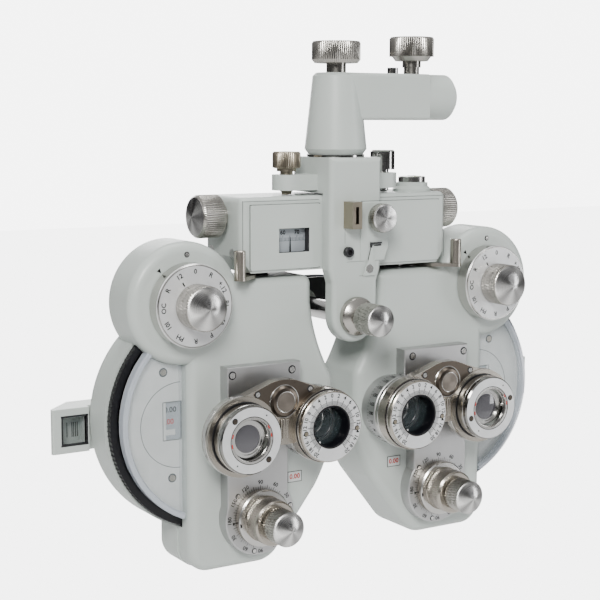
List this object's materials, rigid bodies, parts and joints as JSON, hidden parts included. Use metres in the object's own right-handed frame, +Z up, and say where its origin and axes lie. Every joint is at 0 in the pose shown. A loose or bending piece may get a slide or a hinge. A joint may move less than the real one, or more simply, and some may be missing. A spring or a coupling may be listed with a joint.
{
  "type": "phoropter",
  "caption": "Manual refractor head: two lens batteries with rotary lens wheels, dials and flip turrets hung from a geared pupil-distance housing on a swivelling stand arm.",
  "frame": {"origin": "middle of the mouth of the stand rod bore in the mount arm's nose", "axes": "+X along the stand rod bore, out of its mouth; +Y from the examiner's side to the patient's side; +Z up"},
  "size_m": [0.364, 0.109, 0.3253],
  "materials": {
    "casing_paint": "cast aluminium in fine satin enamel",
    "silver_plate": "satin silver",
    "dial_silver": "matt silver with black figures",
    "nickel": "warm satin nickel",
    "steel": "turned bright steel",
    "dark_metal": "black anodised",
    "black_plastic": "moulded black",
    "clear": "clear acrylic",
    "scale_grey": "pale grey",
    "pad_rubber": "soft black"
  },
  "bodies": {
    "mount": {"mount_arm": "casing_paint", "mount_set_screw": "steel"},
    "stand_clamp": {"stand_clamp_knob": "steel"},
    "bracket": {"centre_bracket": "casing_paint", "swivel_post": "steel", "rod_socket": "nickel"},
    "swivel_clamp": {"swivel_clamp_knob": "steel"},
    "level_screw": {"level_screw": "nickel"},
    "level_plunger": {"level_plunger": "steel"},
    "rod_clamp": {"rod_clamp_knob": "nickel"},
    "forehead_knob": {"forehead_knob": "steel"},
    "forehead_rest": {"forehead_rest": "pad_rubber"},
    "pd_box": {"pd_housing": "casing_paint", "pd_front_plates": "casing_paint", "guide_rods": "steel", "pd_floor": "dark_metal", "spirit_level": "steel"},
    "pd_spindle": {"pd_spindle": "steel"},
    "carriage_left": {"left_carriage": "dark_metal"},
    "battery_left": {"left_front_casing": "casing_paint", "left_rear_casing": "casing_paint", "left_sphere_shield": "clear", "left_sphere_scale_plate": "scale_grey", "left_cylinder_plate": "silver_plate", "left_aligner_housing": "casing_paint"},
    "lever_left": {"left_convergence_lever": "steel"},
    "weak_wheel_left": {"left_weak_sphere_wheel": "black_plastic"},
    "strong_disc_left": {"left_strong_sphere_disc": "dark_metal"},
    "strong_knob_left": {"left_strong_sphere_knob": "steel"},
    "aux_disc_left": {"left_aux_lens_disc": "dark_metal"},
    "aux_dial_left": {"left_aux_lens_dial": "dial_silver"},
    "aperture_ring_left": {"left_aperture_ring": "silver_plate"},
    "axis_knob_left": {"left_axis_knob": "nickel"},
    "cylinder_disc_left": {"left_cylinder_lens_disc": "dark_metal"},
    "cylinder_knob_left": {"left_cylinder_knob": "steel"},
    "turret_left": {"left_turret_frame": "nickel"},
    "prism_dial_left": {"left_prism_dial": "dial_silver"},
    "cross_ring_left": {"left_cross_cylinder_ring": "dial_silver"},
    "cross_lens_left": {"left_cross_cylinder_lens": "steel"},
    "carriage_right": {"right_carriage": "dark_metal"},
    "battery_right": {"right_front_casing": "casing_paint", "right_rear_casing": "casing_paint", "right_sphere_shield": "clear", "right_sphere_scale_plate": "scale_grey", "right_cylinder_plate": "silver_plate", "right_aligner_housing": "casing_paint"},
    "lever_right": {"right_convergence_lever": "steel"},
    "weak_wheel_right": {"right_weak_sphere_wheel": "black_plastic"},
    "strong_disc_right": {"right_strong_sphere_disc": "dark_metal"},
    "strong_knob_right": {"right_strong_sphere_knob": "steel"},
    "aux_disc_right": {"right_aux_lens_disc": "dark_metal"},
    "aux_dial_right": {"right_aux_lens_dial": "dial_silver"},
    "aperture_ring_right": {"right_aperture_ring": "silver_plate"},
    "axis_knob_right": {"right_axis_knob": "nickel"},
    "cylinder_disc_right": {"right_cylinder_lens_disc": "dark_metal"},
    "cylinder_knob_right": {"right_cylinder_knob": "steel"},
    "turret_right": {"right_turret_frame": "nickel"},
    "prism_dial_right": {"right_prism_dial": "dial_silver"},
    "cross_ring_right": {"right_cross_cylinder_ring": "dial_silver"},
    "cross_lens_right": {"right_cross_cylinder_lens": "steel"}
  },
  "joints": [
    {"name": "swivel", "type": "hinge", "parent": "mount", "child": "bracket", "pos_m": [-0.086, 0, -0.0375], "axis": [0, 0, 1], "range_deg": [-90, 90]},
    {"name": "stand_clamp_turn", "type": "hinge", "parent": "mount", "child": "stand_clamp", "pos_m": [-0.028, 0, 0.0195], "axis": [0, 0, 1], "range_deg": [0, 360]},
    {"name": "swivel_clamp_turn", "type": "hinge", "parent": "bracket", "child": "swivel_clamp", "pos_m": [-0.086, 0, 0.0195], "axis": [0, 0, 1], "range_deg": [0, 270]},
    {"name": "level_tilt", "type": "hinge", "parent": "bracket", "child": "pd_box", "pos_m": [-0.086, -0.0115, -0.0835], "axis": [0, 1, 0], "range_deg": [-2.5, 2.5]},
    {"name": "level_screw_travel", "type": "slide", "parent": "bracket", "child": "level_screw", "axis": [0, 0, 1], "range_m": [-0.0016, 0.0016]},
    {"name": "level_plunger_travel", "type": "slide", "parent": "bracket", "child": "level_plunger", "axis": [0, 0, 1], "range_m": [-0.0016, 0.0016]},
    {"name": "rod_clamp_turn", "type": "hinge", "parent": "bracket", "child": "rod_clamp", "pos_m": [-0.0725, -0.0315, -0.0745], "axis": [0, 1, 0], "range_deg": [0, 270]},
    {"name": "forehead_turn", "type": "hinge", "parent": "bracket", "child": "forehead_knob", "pos_m": [-0.086, -0.0415, -0.1355], "axis": [0, 1, 0], "range_deg": [0, 720]},
    {"name": "forehead_travel", "type": "slide", "parent": "bracket", "child": "forehead_rest", "axis": [0, 1, 0], "range_m": [0, 0.016]},
    {"name": "pd_spindle_turn", "type": "hinge", "parent": "pd_box", "child": "pd_spindle", "pos_m": [-0.086, 0.0085, -0.0725], "axis": [1, 0, 0], "range_deg": [-361, 361]},
    {"name": "pd_travel_left", "type": "slide", "parent": "pd_box", "child": "carriage_left", "axis": [-1, 0, 0], "range_m": [-0.0075, 0.0075]},
    {"name": "convergence_left", "type": "hinge", "parent": "carriage_left", "child": "battery_left", "pos_m": [-0.136, 0.0115, -0.1115], "axis": [0, 0, 1], "range_deg": [0, 4.6]},
    {"name": "lever_left", "type": "hinge", "parent": "battery_left", "child": "lever_left", "pos_m": [-0.148, 0.0085, -0.1105], "axis": [0, 0, 1], "range_deg": [0, 20.5]},
    {"name": "weak_sphere_turn_left", "type": "hinge", "parent": "battery_left", "child": "weak_wheel_left", "pos_m": [-0.1731, -0.0115, -0.1925], "axis": [0, -1, 0], "continuous": true},
    {"name": "strong_disc_turn_left", "type": "hinge", "parent": "battery_left", "child": "strong_disc_left", "pos_m": [-0.1731, -0.0115, -0.1925], "axis": [0, -1, 0], "continuous": true},
    {"name": "strong_knob_turn_left", "type": "hinge", "parent": "battery_left", "child": "strong_knob_left", "pos_m": [-0.198, -0.0115, -0.12175], "axis": [0, -1, 0], "continuous": true},
    {"name": "aux_disc_turn_left", "type": "hinge", "parent": "battery_left", "child": "aux_disc_left", "pos_m": [-0.1731, -0.0115, -0.1925], "axis": [0, -1, 0], "continuous": true},
    {"name": "aux_dial_turn_left", "type": "hinge", "parent": "battery_left", "child": "aux_dial_left", "pos_m": [-0.198, -0.0115, -0.12175], "axis": [0, -1, 0], "continuous": true},
    {"name": "axis_ring_turn_left", "type": "hinge", "parent": "battery_left", "child": "aperture_ring_left", "pos_m": [-0.1185, -0.0115, -0.1978], "axis": [0, -1, 0], "continuous": true},
    {"name": "axis_knob_turn_left", "type": "hinge", "parent": "battery_left", "child": "axis_knob_left", "pos_m": [-0.1537, -0.0115, -0.254], "axis": [0, -1, 0], "continuous": true},
    {"name": "cylinder_disc_turn_left", "type": "hinge", "parent": "battery_left", "child": "cylinder_disc_left", "pos_m": [-0.142, -0.0115, -0.2168], "axis": [0, -1, 0], "continuous": true},
    {"name": "cylinder_knob_turn_left", "type": "hinge", "parent": "battery_left", "child": "cylinder_knob_left", "pos_m": [-0.1537, -0.0115, -0.254], "axis": [0, -1, 0], "continuous": true},
    {"name": "turret_swing_left", "type": "hinge", "parent": "battery_left", "child": "turret_left", "pos_m": [-0.1471, -0.0115, -0.1805], "axis": [0, -1, 0], "range_deg": [0, 115.2]},
    {"name": "prism_turn_left", "type": "hinge", "parent": "turret_left", "child": "prism_dial_left", "pos_m": [-0.1185, -0.0115, -0.1978], "axis": [0, -1, 0], "continuous": true},
    {"name": "cross_ring_turn_left", "type": "hinge", "parent": "turret_left", "child": "cross_ring_left", "pos_m": [-0.1749, -0.0115, -0.199], "axis": [0, -1, 0], "range_deg": [-90, 90]},
    {"name": "cross_lens_flip_left", "type": "hinge", "parent": "cross_ring_left", "child": "cross_lens_left", "pos_m": [-0.1749, -0.0433, -0.199], "axis": [1, 0, 0], "range_deg": [0, 180]},
    {"name": "pd_travel_right", "type": "slide", "parent": "pd_box", "child": "carriage_right", "axis": [1, 0, 0], "range_m": [-0.0075, 0.0075]},
    {"name": "convergence_right", "type": "hinge", "parent": "carriage_right", "child": "battery_right", "pos_m": [-0.036, 0.0115, -0.1115], "axis": [0, 0, -1], "range_deg": [0, 4.6]},
    {"name": "lever_right", "type": "hinge", "parent": "battery_right", "child": "lever_right", "pos_m": [-0.024, 0.0085, -0.1105], "axis": [0, 0, -1], "range_deg": [0, 20.5]},
    {"name": "weak_sphere_turn_right", "type": "hinge", "parent": "battery_right", "child": "weak_wheel_right", "pos_m": [0.0011, -0.0115, -0.1925], "axis": [0, 1, 0], "continuous": true},
    {"name": "strong_disc_turn_right", "type": "hinge", "parent": "battery_right", "child": "strong_disc_right", "pos_m": [0.0011, -0.0115, -0.1925], "axis": [0, 1, 0], "continuous": true},
    {"name": "strong_knob_turn_right", "type": "hinge", "parent": "battery_right", "child": "strong_knob_right", "pos_m": [0.026, -0.0115, -0.12175], "axis": [0, 1, 0], "continuous": true},
    {"name": "aux_disc_turn_right", "type": "hinge", "parent": "battery_right", "child": "aux_disc_right", "pos_m": [0.0011, -0.0115, -0.1925], "axis": [0, 1, 0], "continuous": true},
    {"name": "aux_dial_turn_right", "type": "hinge", "parent": "battery_right", "child": "aux_dial_right", "pos_m": [0.026, -0.0115, -0.12175], "axis": [0, 1, 0], "continuous": true},
    {"name": "axis_ring_turn_right", "type": "hinge", "parent": "battery_right", "child": "aperture_ring_right", "pos_m": [-0.0535, -0.0115, -0.1978], "axis": [0, 1, 0], "continuous": true},
    {"name": "axis_knob_turn_right", "type": "hinge", "parent": "battery_right", "child": "axis_knob_right", "pos_m": [-0.0183, -0.0115, -0.254], "axis": [0, 1, 0], "continuous": true},
    {"name": "cylinder_disc_turn_right", "type": "hinge", "parent": "battery_right", "child": "cylinder_disc_right", "pos_m": [-0.03, -0.0115, -0.2168], "axis": [0, 1, 0], "continuous": true},
    {"name": "cylinder_knob_turn_right", "type": "hinge", "parent": "battery_right", "child": "cylinder_knob_right", "pos_m": [-0.0183, -0.0115, -0.254], "axis": [0, 1, 0], "continuous": true},
    {"name": "turret_swing_right", "type": "hinge", "parent": "battery_right", "child": "turret_right", "pos_m": [-0.0249, -0.0115, -0.1805], "axis": [0, 1, 0], "range_deg": [0, 115.2]},
    {"name": "prism_turn_right", "type": "hinge", "parent": "turret_right", "child": "prism_dial_right", "pos_m": [-0.0535, -0.0115, -0.1978], "axis": [0, 1, 0], "continuous": true},
    {"name": "cross_ring_turn_right", "type": "hinge", "parent": "turret_right", "child": "cross_ring_right", "pos_m": [0.0029, -0.0115, -0.199], "axis": [0, 1, 0], "range_deg": [-90, 90]},
    {"name": "cross_lens_flip_right", "type": "hinge", "parent": "cross_ring_right", "child": "cross_lens_right", "pos_m": [0.0029, -0.0433, -0.199], "axis": [1, 0, 0], "range_deg": [0, 180]}
  ],
  "couplings": [
    {"joint": "level_screw_travel", "follows": "level_tilt", "m_per_rad": 0.036},
    {"joint": "level_plunger_travel", "follows": "level_tilt", "m_per_rad": -0.036},
    {"joint": "forehead_travel", "follows": "forehead_turn", "m_per_rad": 0.0012732},
    {"joint": "strong_knob_turn_left", "follows": "strong_disc_turn_left", "ratio": -1.5},
    {"joint": "aux_dial_turn_left", "follows": "aux_disc_turn_left", "ratio": -1.5},
    {"joint": "cylinder_knob_turn_left", "follows": "cylinder_disc_turn_left", "ratio": -1},
    {"joint": "axis_knob_turn_left", "follows": "axis_ring_turn_left", "ratio": 1},
    {"joint": "strong_knob_turn_right", "follows": "strong_disc_turn_right", "ratio": -1.5},
    {"joint": "aux_dial_turn_right", "follows": "aux_disc_turn_right", "ratio": -1.5},
    {"joint": "cylinder_knob_turn_right", "follows": "cylinder_disc_turn_right", "ratio": -1},
    {"joint": "axis_knob_turn_right", "follows": "axis_ring_turn_right", "ratio": 1},
    {"joint": "pd_travel_right", "follows": "pd_travel_left", "ratio": 1},
    {"joint": "pd_spindle_turn", "follows": "pd_travel_left", "rad_per_m": 837.76},
    {"joint": "convergence_right", "follows": "convergence_left", "ratio": 1},
    {"joint": "lever_left", "follows": "convergence_left", "ratio": 4.3478},
    {"joint": "lever_right", "follows": "convergence_left", "ratio": 4.3478}
  ]
}
